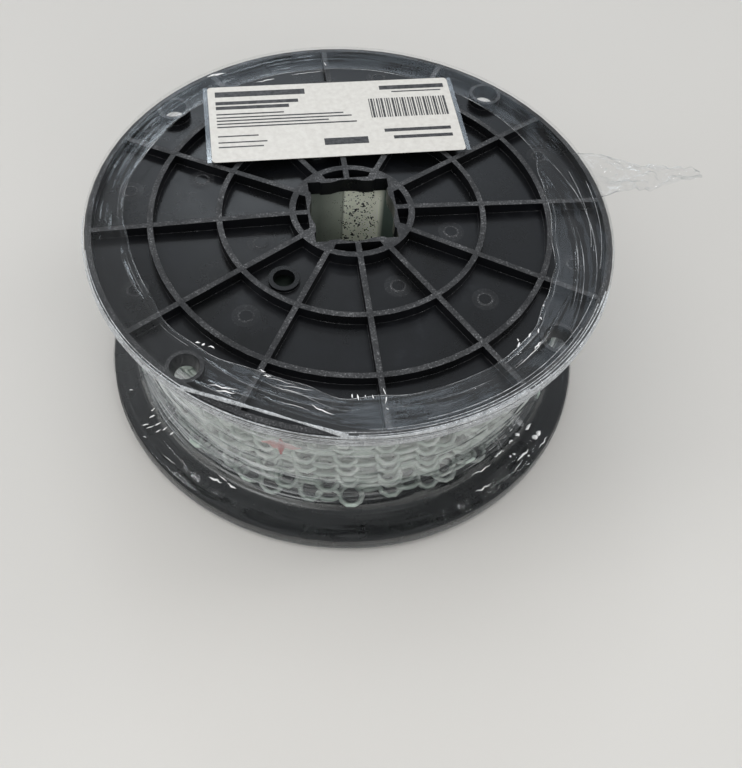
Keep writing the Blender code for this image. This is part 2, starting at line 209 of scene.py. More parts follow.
def clear_stretch_film():
    """Clinging clear polyethylene film, some layers deep. Each layer mirrors a little of the
    room, more at a glancing angle, and milky streaks show where its pull has bunched it. The
    milkiness is partly painted sheen: it is laid on whiter where the film faces the camera and
    on the reel's left side."""
    material, tree, shader = new_material("clear_stretch_film")
    round_reel = add_node(tree, "ShaderNodeUVMap", {"uv_map": "round_reel"}).outputs["UV"]
    bunching_and_painted_sheen = carried(tree, "bunching_and_painted_sheen")
    pulled = add_node(tree, "ShaderNodeMapping", None, {
        "Vector": round_reel, "Scale": (per(70), per(1.3), 1.0)}).outputs["Vector"]
    streaks = cloud(tree, pulled, 1.0, 2.0)
    normal = bumped(tree, streaks, 0.25, 0.3 * MM)
    streak_mask = ramp(tree, streaks, (0.5, 0.0), (0.68, 1.0))
    reach = calculate(tree, "MULTIPLY_ADD", bunching_and_painted_sheen, 1.2, 0.02, clamp=True)
    milky_and_painted_sheen = calculate(tree, "MULTIPLY", streak_mask, reach)
    milky_and_painted_sheen = calculate(tree, "MULTIPLY_ADD", bunching_and_painted_sheen, 0.25, milky_and_painted_sheen, clamp=True)
    facing = add_node(tree, "ShaderNodeLayerWeight", None, {
        "Blend": 0.5, "Normal": normal}).outputs["Facing"]
    mirror = calculate(tree, "MULTIPLY_ADD", calculate(tree, "POWER", facing, 5.0), 0.96, 0.04)
    clear = calculate(tree, "MULTIPLY", mirror, carried(tree, "layers"), clamp=True)
    set_shader(tree, shader, Base_Color=linear("#eef2f4"), Roughness=0.08,
               Metallic=rescale(tree, milky_and_painted_sheen, 1.0, 0.35, end=0.5),
               Alpha=calculate(tree, "MULTIPLY_ADD", milky_and_painted_sheen, 0.4, clear, clamp=True),
               Normal=normal)
    return material


def bunched_film():
    """The same film rolled into a cord at its edges: many layers, so it looks silvery."""
    material, tree, shader = new_material("bunched_film")
    folds = cloud(tree, object_place(tree), per(3), 4.0, 0.7)
    set_shader(tree, shader, Base_Color=linear("#eceff1"), Roughness=0.14, Metallic=0.4,
               Alpha=rescale(tree, folds, 0.15, 0.8, 0.32, 0.68),
               Normal=bumped(tree, folds, 0.8, 0.5 * MM))
    return material


def painted_glint_film():
    """Painted highlights: small white marks of nearly opaque film, laid where the film's sharp
    folds catch the light."""
    material, tree, shader = new_material("painted_glint_film")
    folds = cloud(tree, object_place(tree), per(2), 2.0)
    set_shader(tree, shader, Base_Color=linear("#fdfdfd"), Roughness=0.1,
               Alpha=rescale(tree, folds, 0.6, 1.0, 0.3, 0.5))
    return material


def painted_shade_film():
    """The film's lap under the reel, painted dark grey and mostly opaque as painted shade, so
    that little light comes up through the lower flange's holes."""
    material, tree, shader = new_material("painted_shade_film")
    painted_shade_mottle = cloud(tree, object_place(tree), per(12), 6.0, 0.7)
    # Painted shade: dark grey, mottled and mostly opaque
    set_shader(tree, shader, Base_Color=ramp(tree, painted_shade_mottle, (0.35, "#2c2e30"), (0.7, "#55585a")),
               Roughness=0.35, Alpha=rescale(tree, painted_shade_mottle, 0.55, 0.75, 0.35, 0.65))
    return material


def recycled_paperboard():
    """Grey chipboard wound from plies of waste paper: matt, peppered with dark specks where
    the middle ply shows, and cleaner on either side of it. Across the tube the colour carries
    painted light: the middle ply is painted much brighter, partly its own paler tone and partly
    light falling in through the square hole, and the band towards +X is painted shade."""
    material, tree, shader = new_material("recycled_paperboard")
    place = object_place(tree)
    across = add_node(tree, "ShaderNodeSeparateXYZ", None, {"Vector": place}).outputs["X"]
    across = rescale(tree, across, 0.0, 1.0, -TUBE_RADIUS, TUBE_RADIUS)
    # Painted light and shade across the tube: a bright middle band and a dark band towards +X, with
    # the seam as a thin dark line
    plies_and_painted_light = ramp(tree, across, (0.3, "#6c726b"), (0.485, "#9ba196"), (0.495, "#767d73"),
               (0.51, "#e2e6d6"), (0.78, "#eceede"), (0.82, "#4a5650"))
    middle = ramp(tree, across, (0.45, 0.35), (0.52, 1.0), (0.74, 1.0), (0.82, 0.15))
    mottle = cloud(tree, place, per(16), 5.0)
    base = add_node(tree, "ShaderNodeVectorMath", {"operation": "SCALE"}, {
        0: plies_and_painted_light, "Scale": rescale(tree, mottle, 0.95, 1.5)}).outputs[0]
    specks = add_node(tree, "ShaderNodeTexVoronoi", None, {
        "Vector": place, "Scale": per(1.15), "Randomness": 1.0}).outputs["Distance"]
    reach = rescale(tree, cloud(tree, place, per(3), 2.0), 0.02, 0.62, 0.36, 0.68)
    reach = calculate(tree, "MULTIPLY", reach, middle)
    dark = calculate(tree, "LESS_THAN", specks, reach)
    set_shader(tree, shader, Base_Color=mixed(tree, dark, base, linear("#20221f")),
               Roughness=0.8, Normal=bumped(tree, mottle, 0.3, 0.3 * MM))
    return material


def label_paper():
    """Semi-gloss white label stock, very slightly cockled by the ribs under it."""
    material, tree, shader = new_material("label_paper")
    place = object_place(tree)
    fibre = cloud(tree, place, per(2.5), 4.0)
    cockle = cloud(tree, place, per(100 / 3), 1.0)
    height = calculate(tree, "MULTIPLY_ADD", cockle, 4.0, fibre)
    set_shader(tree, shader, Base_Color=ramp(tree, fibre, (0.3, "#c8c5bf"), (0.7, "#d4d2cc")),
               Roughness=0.34, Normal=bumped(tree, height, 0.2, 0.2 * MM))
    return material


def label_ink():
    """Thermal-transfer black: a flat, slightly glossy layer that breaks up at its edges."""
    material, tree, shader = new_material("label_ink")
    fade = cloud(tree, object_place(tree), per(2), 3.0)
    set_shader(tree, shader, Base_Color=ramp(tree, fade, (0.35, "#1b1b1d"), (0.75, "#4b4b4d")),
               Roughness=0.4)
    return material


def red_plastic_strip():
    """Thin red polyethylene strip: see-through and pink where it lies flat, deep red where
    it is pinched together."""
    material, tree, shader = new_material("red_plastic_strip")
    folds = cloud(tree, object_place(tree), per(4), 3.0)
    red = calculate(tree, "MULTIPLY_ADD", folds, 0.5, carried(tree, "pinch"), clamp=True)
    colour = ramp(tree, red, (0.15, "#e5a29c"), (0.4, "#c4504b"), (0.8, "#a3181b"))
    set_shader(tree, shader, Base_Color=colour, Roughness=0.3,
               Alpha=rescale(tree, red, 0.25, 1.0, end=0.8))
    return material


def pale_table_laminate():
    """Plastic laminate on the table: smooth, matt and pale, with the faintest cloudiness."""
    material, tree, shader = new_material("pale_table_laminate")
    haze = cloud(tree, object_place(tree), per(2000 / 3), 2.0)
    set_shader(tree, shader, Base_Color=ramp(tree, haze, (0.35, "#cac8c4"), (0.65, "#cfcdc9")),
               Roughness=0.6)
    return material


def dish(radius):
    """1 at the hub, 0 at the rim: how far a point is up the flange's dished rise."""
    return (REEL_RADIUS - max(radius, HUB_RADIUS)) / (REEL_RADIUS - HUB_RADIUS)


def rib_top(radius):
    return RIM_TOP + HUB_RISE * dish(radius)


def pocket_floor(radius):
    return POCKET_FLOOR + PLATE_RISE * dish(radius)


def polar(radius, degrees, height=0.0):
    angle = math.radians(degrees)
    return Vector((radius * math.cos(angle), radius * math.sin(angle), height))


def finish_piece(name, bm, material, smooth_angle=35):
    mesh = bpy.data.meshes.new(name)
    bm.to_mesh(mesh)
    bm.free()
    mesh.materials.append(material)
    mesh.shade_smooth()
    mesh.set_sharp_from_angle(angle=math.radians(smooth_angle))
    piece = bpy.data.objects.new(name, mesh)
    bpy.context.scene.collection.objects.link(piece)
    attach(piece, "root")
    return piece


# Flanges
PIN_MARKS = (
    (45.6, 195), (76.3, 155), (76.0, 225), (46.0, 290), (76.4, 315), (47.5, 345),
    (106.0, 256.7), (108.5, 283.5), (107.2, 198.5), (76.0, 45), (46.0, 105), (107.0, 20),
    (107.0, 340), (106.0, 75), (107.0, 110), (107.0, 165),
)
PIN_RADIUS = 3.7 * MM
PIN_HEIGHT = 0.2 * MM
PIN_HALO_RADIUS = 6.4 * MM
CROSSING_RADII = (62.2, 94.0)
CROSSING_MARK_RADIUS = 1.5 * MM
EDGE_BEVEL = 0.3 * MM
FILLET_REACH = 0.45 * MM
# How pale the fillets at the feet of the walls are painted, as a highlight
FILLET_PAINTED_HIGHLIGHT = 2.2
RIB_STEP = 30


def mark_wear(bm, side):
    """Notes on each point how rubbed it is: the tops of ribs and rings fully, floors not."""
    layer = bm.verts.layers.float["rub"]
    for vert in bm.verts:
        below = rib_top(vert.co.xy.length) - side * vert.co.z
        vert[layer] = max(0.0, 1.0 - below / (0.8 * MM))


def wear_and_highlight_faces(bm, side):
    """Gives each face the rubbing of its points. Walls aren't rubbed and stay black, but the
    small fillets at their feet get a painted highlight: pale grey, as if they caught the light."""
    rub = bm.verts.layers.float["rub"]
    wear_and_highlight = bm.faces.layers.float.new("wear_and_highlight")
    for face in bm.faces:
        upright = side * face.normal.z
        lifts = [abs(side * vert.co.z - pocket_floor(vert.co.xy.length)) for vert in face.verts]
        # The fillets get a painted highlight, pale as if they caught the light
        if 0.15 < upright < 0.97 and max(lifts) < FILLET_REACH:
            face[wear_and_highlight] = FILLET_PAINTED_HIGHLIGHT
        elif abs(upright) > 0.5:
            face[wear_and_highlight] = sum(vert[rub] for vert in face.verts) / len(face.verts)


def on_slope(radius, degrees, height, fall, side):
    """A place on the dished flange, leaning with it. Fall is the rise from rim to hub."""
    lean = math.atan(fall / (REEL_RADIUS - HUB_RADIUS))
    place = Matrix.Rotation(math.radians(degrees), 4, "Z") @ Matrix.Translation((radius, 0, height))
    place @= Matrix.Rotation(lean, 4, "Y")
    return Matrix.Scale(side, 4, Vector((0, 0, 1))) @ place


def add_disc(bm, place, low_radius, top_radius, sunk, proud, sides, wear_and_highlight):
    """A low round boss, sunk a little into what it stands on."""
    layer = bm.verts.layers.float["rub"]
    middle = Matrix.Translation((0, 0, (proud - sunk) / 2))
    made = bmesh.ops.create_cone(
        bm, cap_ends=True, segments=sides, radius1=low_radius, radius2=top_radius,
        depth=proud + sunk, matrix=place @ middle)
    for vert in made["verts"]:
        vert[layer] = wear_and_highlight if (place.inverted() @ vert.co).z > 0 else 0.0


def add_pin_marks(bm, side):
    """The round marks that ejector pins leave on the pocket floors, each in a ring of
    blushed plastic, and the small ones where ribs and rings cross."""
    for radius, angle in PIN_MARKS:
        radius *= MM
        place = on_slope(radius, angle, pocket_floor(radius), PLATE_RISE, side)
        add_disc(bm, place, PIN_HALO_RADIUS, PIN_RADIUS + 0.3 * MM, 0.01 * MM, 0.05 * MM, 28, 0.4)
        add_disc(bm, place, PIN_RADIUS, PIN_RADIUS - 0.2 * MM, 0.1 * MM, PIN_HEIGHT, 28, 0.8)
        add_disc(bm, place, PIN_RADIUS - 0.5 * MM, PIN_RADIUS - 0.8 * MM, 0.0,
                 PIN_HEIGHT + 0.08 * MM, 28, 0.0)
    for radius in CROSSING_RADII:
        for angle in range(0, 360, RIB_STEP):
            place = on_slope(radius * MM, angle, rib_top(radius * MM), HUB_RISE, side)
            add_disc(bm, place, CROSSING_MARK_RADIUS, CROSSING_MARK_RADIUS - 0.15 * MM,
                     0.1 * MM, 0.1 * MM, 14, 1.0)


def make_flange(node_name, side, material):
    """The moulded flange with its edges rounded and its pin marks added."""
    bm = bmesh.new()
    bm.from_mesh(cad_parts[node_name].data)
    bmesh.ops.remove_doubles(bm, verts=bm.verts, dist=0.002 * MM)
    bmesh.ops.dissolve_limit(
        bm, angle_limit=math.radians(1.2), verts=bm.verts, edges=bm.edges, delimit=set())
    sharp = [edge for edge in bm.edges
             if len(edge.link_faces) == 2 and edge.calc_face_angle(0.0) > math.radians(40)]
    bmesh.ops.bevel(
        bm, geom=sharp, offset=EDGE_BEVEL, segments=2, profile=0.5, affect="EDGES",
        clamp_overlap=True, material=-1)
    bm.verts.layers.float.new("rub")
    mark_wear(bm, side)
    add_pin_marks(bm, side)
    bmesh.ops.recalc_face_normals(bm, faces=bm.faces)
    wear_and_highlight_faces(bm, side)
    piece = finish_piece(node_name + "_moulding", bm, material, 40)
    normals = piece.modifiers.new("flat_faces_stay_flat", "WEIGHTED_NORMAL")
    normals.keep_sharp = True
    normals.weight = 100
    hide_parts(node_name)


# Chain. Each layer of the winding: its radius, strands, the way it climbs and the steps of a
# loop, which are fewer where less shows.
CHAIN_LAYERS = ((100.2, 10, 1, 10), (89.5, 9, -1, 8), (79.0, 8, 1, 8))
STRAND_REACH = 36.3 * MM
WIRE_SIDES = 4
LAYER_CLIMB = 1.15
LINK_DRIFT = 4.0 * MM
SLUMPED_BELOW = -0.74 * STRAND_REACH
DRUM_RADIUS = 74.0 * MM
DRUM_HALF_HEIGHT = 42.5 * MM
DRUM_GROOVE = 1.5 * MM
DRUM_STEPS = 28


def add_loop(bm, centre, axis, start, steps):
    """One round eye of wire, spun from a small circle."""
    turn = axis.cross(start - centre).to_track_quat("Z", "Y").to_matrix().to_4x4()
    ring = bmesh.ops.create_circle(
        bm, segments=WIRE_SIDES, radius=LINK_WIRE / 2, matrix=Matrix.Translation(start) @ turn)
    edges = list({edge for vert in ring["verts"] for edge in vert.link_edges})
    bmesh.ops.spin(
        bm, geom=ring["verts"] + edges, cent=centre, axis=axis, angle=2 * math.pi,
        steps=steps, use_merge=True, use_duplicate=False)


def link_mesh(steps):
    """A jack-chain link: two eyes at right angles that share a waist."""
    bm = bmesh.new()
    waist = Vector((0.0, 0.0, 0.0))
    add_loop(bm, Vector((-LINK_LOOP, 0.0, 0.0)), Vector((0.0, 0.0, 1.0)), waist, steps)
    add_loop(bm, Vector((LINK_LOOP, 0.0, 0.0)), Vector((0.0, 1.0, 0.0)), waist, steps)
    bmesh.ops.remove_doubles(bm, verts=bm.verts, dist=0.001 * MM)
    bmesh.ops.recalc_face_normals(bm, faces=bm.faces)
    mesh = bpy.data.meshes.new("link")
    bm.to_mesh(mesh)
    bm.free()
    return mesh


def wind_chain(material):
    """The whole chain: links laid end to end in layers, each layer climbing the other way
    from the last, and each link rolled and pushed a little by its neighbours."""
    bm = bmesh.new()
    for layer, (layer_radius, strands, climb, steps) in enumerate(CHAIN_LAYERS):
        link = link_mesh(steps)
        step = LINK_PITCH / (layer_radius * MM)
        count = round(strands * 2 * math.pi / step)
        for n in range(count):
            angle = n * step
            drift = noise.noise(Vector((n * 0.37, layer, 0.0)))
            sway = noise.noise(Vector((n * 0.29, layer, 5.0)))
            roll = math.radians(45) + 2.4 * noise.noise(Vector((n * 0.31, layer, 9.0)))
            height = climb * LAYER_CLIMB * STRAND_REACH * (2 * n / (count - 1) - 1)
            height += LINK_DRIFT * drift
            height = max(-STRAND_REACH, min(STRAND_REACH, height))
            slump = 0.0
            if layer == 0 and height < SLUMPED_BELOW:
                slump = 1.5 + 9 * noise.noise(Vector((n * 0.61, 3.0, 1.0)))
                slump = max(-1.0, min(3.6, slump))
                height += LINK_DRIFT * noise.noise(Vector((n * 0.83, 7.0, 1.0))) + 1.0 * MM
            tangent = Vector((-math.sin(angle), math.cos(angle), 0.0))
            outward = Vector((math.cos(angle), math.sin(angle), 0.0))
            place = Matrix((tangent, outward, Vector((0, 0, 1)))).transposed().to_4x4()
            place.translation = outward * (layer_radius + 0.8 * sway + slump) * MM
            place.translation.z = height
            before = len(bm.verts)
            bm.from_mesh(link)
            bm.verts.ensure_lookup_table()
            bmesh.ops.transform(
                bm, matrix=place @ Matrix.Rotation(roll, 4, "X"), verts=bm.verts[before:])
        bpy.data.meshes.remove(link)
    piece = finish_piece("jack_chain", bm, material, 120)
    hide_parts("chain_winding")


def make_inner_turns(material):
    """A ribbed drum behind the links, where the deeper turns lie in shade."""
    bm = bmesh.new()
    inner = TUBE_RADIUS + 0.4 * MM
    profile = [(inner, -DRUM_HALF_HEIGHT)]
    for n in range(DRUM_STEPS + 1):
        height = -DRUM_HALF_HEIGHT + 2 * DRUM_HALF_HEIGHT * n / DRUM_STEPS
        profile.append((DRUM_RADIUS + DRUM_GROOVE * math.cos(math.pi * n), height))
    profile.append((inner, DRUM_HALF_HEIGHT))
    points = [bm.verts.new((radius, 0.0, height)) for radius, height in profile]
    edges = [bm.edges.new(pair) for pair in zip(points, points[1:] + points[:1])]
    bmesh.ops.spin(
        bm, geom=points + edges, cent=(0, 0, 0), axis=(0, 0, 1), angle=2 * math.pi,
        steps=96, use_merge=True, use_duplicate=False)
    bmesh.ops.recalc_face_normals(bm, faces=bm.faces)
    piece = finish_piece("inner_turns", bm, material, 60)
    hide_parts("chain_winding")


TIE_ANGLE = 246.4
TIE_HEIGHT = 7.5 * MM
TIE_REACH = 9.5 * MM


def make_end_tie(material):
    """A strip of red plastic on the chain's loose end, pinched upright in its middle."""
    bm = bmesh.new()
    bmesh.ops.create_grid(bm, x_segments=40, y_segments=12, size=1.0)
    pinch = bm.verts.layers.float.new("pinch")
    for vert in bm.verts:
        across, up = vert.co.x, vert.co.y
        lobe = math.exp(-((abs(across) - 0.35) / 0.3) ** 2)
        upright = math.exp(-(across / 0.11) ** 2)
        half_height = (0.7 + 1.8 * lobe * (1.3 if across < 0 else 0.8) + 6.0 * upright) * MM
        angle = math.radians(TIE_ANGLE) + across * TIE_REACH / CHAIN_RADIUS
        radius = CHAIN_RADIUS - 0.3 * MM + 0.6 * MM * upright
        radius += 0.3 * MM * math.sin(7 * across + 3 * up)
        vert[pinch] = upright
        vert.co = Vector((radius * math.cos(angle), radius * math.sin(angle),
                          TIE_HEIGHT + up * half_height + 1.5 * MM * across))
    bmesh.ops.recalc_face_normals(bm, faces=bm.faces)
    bmesh.ops.solidify(bm, geom=bm.faces, thickness=0.2 * MM)
    piece = finish_piece("end_tie_strip", bm, material)
    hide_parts("end_tie")


# Film. Its corners are the radius and height, in millimetres, of the upper half of the line
# that it follows from the top of the rim down to the middle of its waist on the chain.
WALL_CORNERS = (
    (124.45, 50.95), (124.7, 49.8), (124.7, 45.4), (124.2, 43.85), (123.0, 43.15),
    (119.5, 42.45), (115.4, 41.4), (111.9, 38.9), (109.9, 35.5), (108.9, 31.0),
    (108.7, 24.0), (108.7, 0.0),
)
WALL_ROWS = 128
LAP_ROWS = 30
FILM_COLUMNS = 300
FILM_GAP = 0.35 * MM
FILM_THICKNESS = 0.1 * MM
FILM_PAST_RIM = 0.45 * MM
LAP_MIDDLE_RADIUS = 104.0 * MM
CHORD_START = 228.0
CHORD_END = 262.0

# The lap's inner edge on the upper flange: angle in degrees and radius in millimetres
LAP_EDGE = (
    (0, 95.0), (10, 96.5), (20, 102.5), (45, 104.0), (90, 105.0), (140, 106.0), (170, 107.2),
    (188, 104.0), (204, 103.2), (214, 105.6), (227, 104.4), (241, 101.0), (250, 101.4),
    (261, 106.4), (269, 104.7), (279, 105.9), (299, 106.2), (312, 104.6), (323, 100.2),
    (332, 98.2), (345, 94.6), (360, 95.0),
)

# Creases that the film's pull leaves in the upper lap: where each starts and ends, as angle
# and radius, then its height and width, in degrees and millimetres
LAP_CREASES = (
    (229, 240, 118.6, 117.2, 0.9, 1.2), (231, 244, 115.4, 113.8, 0.6, 1.0),
    (226, 262, 107.4, 112.0, 0.8, 1.1), (238, 262, 104.6, 108.6, 0.9, 1.0),
    (242, 261, 111.8, 116.6, 0.7, 1.0), (248, 259, 119.0, 120.8, 0.6, 0.9),
    (246, 263, 114.4, 119.5, 0.5, 0.8), (297, 317, 108.8, 104.9, 0.5, 0.8),
    (303, 327, 112.5, 108.5, 0.5, 0.8), (276, 296, 110.6, 112.4, 0.4, 0.8),
    (318, 352, 117.5, 106.0, 0.7, 1.2), (322, 358, 113.0, 101.5, 0.7, 1.1),
    (330, 366, 119.0, 109.5, 0.8, 1.3), (334, 372, 109.0, 99.5, 0.6, 1.1),
    (342, 378, 116.5, 105.5, 0.6, 1.0), (186, 214, 108.6, 106.8, 0.4, 0.8),
)


def lap_inner_radius(degrees, side):
    """The uneven inner edge of the film on a flange."""
    spot = polar(1.0, degrees) * 6
    ragged = 0.7 * noise.noise(Vector((spot.x, spot.y, 3.0 * side)))
    degrees %= 360
    for (start, first), (end, last) in zip(LAP_EDGE, LAP_EDGE[1:]):
        if start <= degrees <= end:
            share = (degrees - start) / (end - start)
            share = share * share * (3 - 2 * share)
            return (first + (last - first) * share + ragged) * MM


def lap_outer_radius(degrees):
    """The film reaches the rim, apart from one place where it is pulled straight across."""
    half = (CHORD_END - CHORD_START) / 2
    off = (degrees - CHORD_START) % 360 - half
    if abs(off) >= half:
        return REEL_RADIUS + FILM_PAST_RIM
    chord = REEL_RADIUS * math.cos(math.radians(half)) / math.cos(math.radians(off))
    return min(chord, REEL_RADIUS + FILM_PAST_RIM)


def crease_height(radius, degrees):
    """How far the creases lift the upper lap at a point."""
    lift = 0.0
    for start, end, first, last, height, width in LAP_CREASES:
        share = ((degrees - start) % 360) / (end - start)
        if share < 1.0:
            off = (radius / MM - first - (last - first) * share) / (0.75 * width)
            lift += 0.8 * height * math.sin(math.pi * share) ** 0.6 * math.exp(-off * off)
    return lift * MM


def rounded_line(corners, steps=8):
    """A smooth line through (radius, height) corners, in the plane of +X and +Z."""
    points = [Vector((radius, 0.0, height)) * MM for radius, height in corners]
    padded = [points[0]] + points + [points[-1]]
    line = []
    for before, start, end, after in zip(padded, padded[1:], padded[2:], padded[3:]):
        line += geometry.interpolate_bezier(
            start, start + (end - before) / 6, end - (after - start) / 6, end, steps)[:-1]
    return line + [points[-1]]


def spaced_rows(line, count):
    """Even steps along a line: each one's point, outward direction and distance so far."""
    reached = [0.0]
    for start, end in zip(line, line[1:]):
        reached.append(reached[-1] + (end - start).length)
    rows = []
    part = 0
    for n in range(count + 1):
        distance = reached[-1] * n / count
        while part < len(line) - 2 and reached[part + 1] < distance:
            part += 1
        start, end = line[part], line[part + 1]
        share = (distance - reached[part]) / (reached[part + 1] - reached[part])
        ahead = (end - start).normalized()
        rows.append((start.lerp(end, share), Vector((-ahead.z, 0.0, ahead.x)), distance))
    return rows


def sheet_grid(columns, rows, place, size, closed=True):
    """A sheet of quads laid round the reel. Place gives each point, how bunched the film is there
    with painted sheen added in, and its layers. Size is the sheet's length and width, which its
    UV map keeps."""
    bm = bmesh.new()
    bmesh.ops.create_grid(bm, x_segments=columns, y_segments=rows, size=1.0)
    bunching_and_painted_sheen = bm.verts.layers.float.new("bunching_and_painted_sheen")
    layers = bm.verts.layers.float.new("layers")
    round_reel = bm.loops.layers.uv.new("round_reel")
    for face in bm.faces:
        for loop in face.loops:
            across = Vector(((loop.vert.co.x + 1) / 2, (loop.vert.co.y + 1) / 2))
            loop[round_reel].uv = (across.x * size[0], across.y * size[1])
    for vert in bm.verts:
        along = (vert.co.x + 1) / 2
        across = (vert.co.y + 1) / 2
        vert.co, vert[bunching_and_painted_sheen], vert[layers] = place(along, across)
    if closed:
        bmesh.ops.remove_doubles(bm, verts=bm.verts, dist=0.001 * MM)
    bmesh.ops.recalc_face_normals(bm, faces=bm.faces)
    return bm


def thin_shell(name, bm, material, nodes=()):
    """Finishes a sheet of film, gives it its thickness and hides the named solids."""
    area = sum(face.calc_area() for face in bm.faces)
    piece = finish_piece(name, bm, material, 70)
    shell = piece.modifiers.new("film_thickness", "SOLIDIFY")
    shell.thickness = FILM_THICKNESS
    shell.offset = 0.0
    if nodes:
        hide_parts(*nodes)


def wave(around, count, distance, length):
    """Smooth noise with so many waves round the reel, and one per length across the film."""
    return noise.noise(Vector((around.x * count, around.y * count, distance / length)))


def facing_front(around):
    """How much a place round the reel faces the camera, from 0."""
    return max(0.0, -around.y + 0.3 * around.x)


def make_lap(name, side, material):
    """The film folded in over a flange's ribs, with creases where it is pulled."""
    middle_width = REEL_RADIUS - LAP_MIDDLE_RADIUS

    def place(along, across):
        degrees = along * 360
        around = polar(1.0, degrees)
        inner = lap_inner_radius(degrees, side)
        outer = lap_outer_radius(degrees) if side > 0 else REEL_RADIUS + FILM_PAST_RIM
        radius = inner + (outer - inner) * across
        streak = wave(around, 3, radius, 1.6 * MM)
        slack = wave(around, 10, radius, 9 * MM)
        settle = min(1.0, (outer - radius) / (3 * MM))
        crease = crease_height(radius, degrees) * settle if side > 0 else 0.0
        lift = (0.1 * (1 + streak) + 0.22 * (1 + slack)) * MM * settle + crease
        height = rib_top(radius) + FILM_GAP + lift
        near_rim = max(0.0, 1 - (REEL_RADIUS - radius) / (4 * MM))
        off_edge = (radius - inner) / MM
        to_front = facing_front(around)
        # Milkier near the rim where the lap faces the camera: painted sheen, besides the real
        # bunching
        bunch_and_painted_sheen = (0.03 + 0.25 * to_front) * near_rim * max(0.0, 0.4 + streak)
        bunch_and_painted_sheen += 0.08 * crease / MM + 0.1 * math.exp(-off_edge / 0.7)
        layers = 0.6 + 0.5 * to_front - 0.18 * max(0.0, around.x)
        if side < 0:
            bunch_and_painted_sheen = 0.0
        return polar(radius, degrees, side * height), bunch_and_painted_sheen, layers

    size = (2 * math.pi * REEL_RADIUS, middle_width)
    bm = sheet_grid(FILM_COLUMNS, LAP_ROWS, place, size)
    thin_shell(name, bm, material)


def make_wall(material):
    """The film from one rim to the other, drawn in between them until it lies on the chain."""
    corners = list(WALL_CORNERS) + [(radius, -height) for radius, height in WALL_CORNERS[-2::-1]]
    rows = spaced_rows(rounded_line(corners), WALL_ROWS)
    width = rows[-1][2]

    def place(along, across):
        point, outward, distance = rows[round(across * WALL_ROWS)]
        degrees = along * 360
        around = polar(1.0, degrees)
        on_chain = max(0.0, min(1.0, (40 * MM - abs(point.z)) / (10 * MM)))
        on_rim = max(0.0, min(1.0, (point.x - 122.5 * MM) / (1.5 * MM)))
        bridging = (1 - on_chain) * (1 - on_rim)
        ripple = wave(around, 2.5, distance, 3.0 * MM)
        lump = wave(around, 9, distance, 11 * MM)
        pleat = wave(around, 17, distance, 24 * MM)
        fine = wave(around, 6, distance, 2.1 * MM)
        upper = 1.0 if point.z > 0 else 0.0
        to_front = facing_front(around)
        push = on_chain * (0.3 * ripple + 0.5 * lump)
        push += bridging * (0.3 * fine + 0.4 * pleat)
        spot = point + outward * push * MM
        to_left = max(0.0, -around.x - 0.3 * around.y)
        # Milkier on the left and, at the rim, where the wall faces the camera: painted sheen; the
        # ripples and lumps below are real bunching
        bunch_and_painted_sheen = (0.14 + 0.6 * to_left) * on_chain + (0.02 + 0.33 * upper) * bridging
        bunch_and_painted_sheen += (0.03 + 0.35 * upper * to_front) * on_rim
        bunch_and_painted_sheen *= 1 + 0.8 * ripple + 0.5 * lump
        layers = 0.3 + 0.5 * to_front + 1.2 * on_chain + 1.4 * upper * bridging
        layers += (0.2 + 0.85 * to_left - 0.45 * to_front) * (1 - upper) * bridging
        return polar(spot.x, degrees, spot.z), max(0.0, bunch_and_painted_sheen), layers

    size = (2 * math.pi * REEL_RADIUS, width)
    bm = sheet_grid(FILM_COLUMNS, WALL_ROWS, place, size)
    nodes = ("wrap_film", "film_over_top_rim", "film_over_bottom_rim")
    thin_shell("film_wall", bm, material, nodes)


THINNEST_STRAND = 0.05
CHORD_THICKNESS = 2.4 * MM
GLINT_STEPS = 8
GLINT_WOBBLE = 0.8

# Rolled edges of the film round the upper rim: start and end angle, radius, height below
# the rim's top and thickness, in millimetres
RIM_STRANDS = (
    (176, 334, 124.5, -0.2, 1.1), (184, 330, 124.9, 1.1, 0.6), (190, 328, 124.9, 2.2, 0.8),
    (196, 322, 124.9, 3.4, 0.5), (200, 318, 124.8, 4.6, 0.7), (264, 332, 123.2, -0.7, 0.8),
    (258, 328, 122.0, -0.8, 0.5), (266, 320, 120.7, -0.9, 0.4), (262, 300, 124.2, -0.7, 1.5),
    (278, 330, 118.8, -0.9, 0.35), (186, 230, 123.4, -0.6, 0.7), (338, 366, 118.5, -0.8, 0.25),
    (344, 370, 113.0, -1.1, 0.25),
)
LAP_LINES = ((0.0, 0, 360, 0.4), (2.3, 164, 222, 0.3), (5.5, 246, 304, 0.3), (2.0, 300, 366, 0.3))

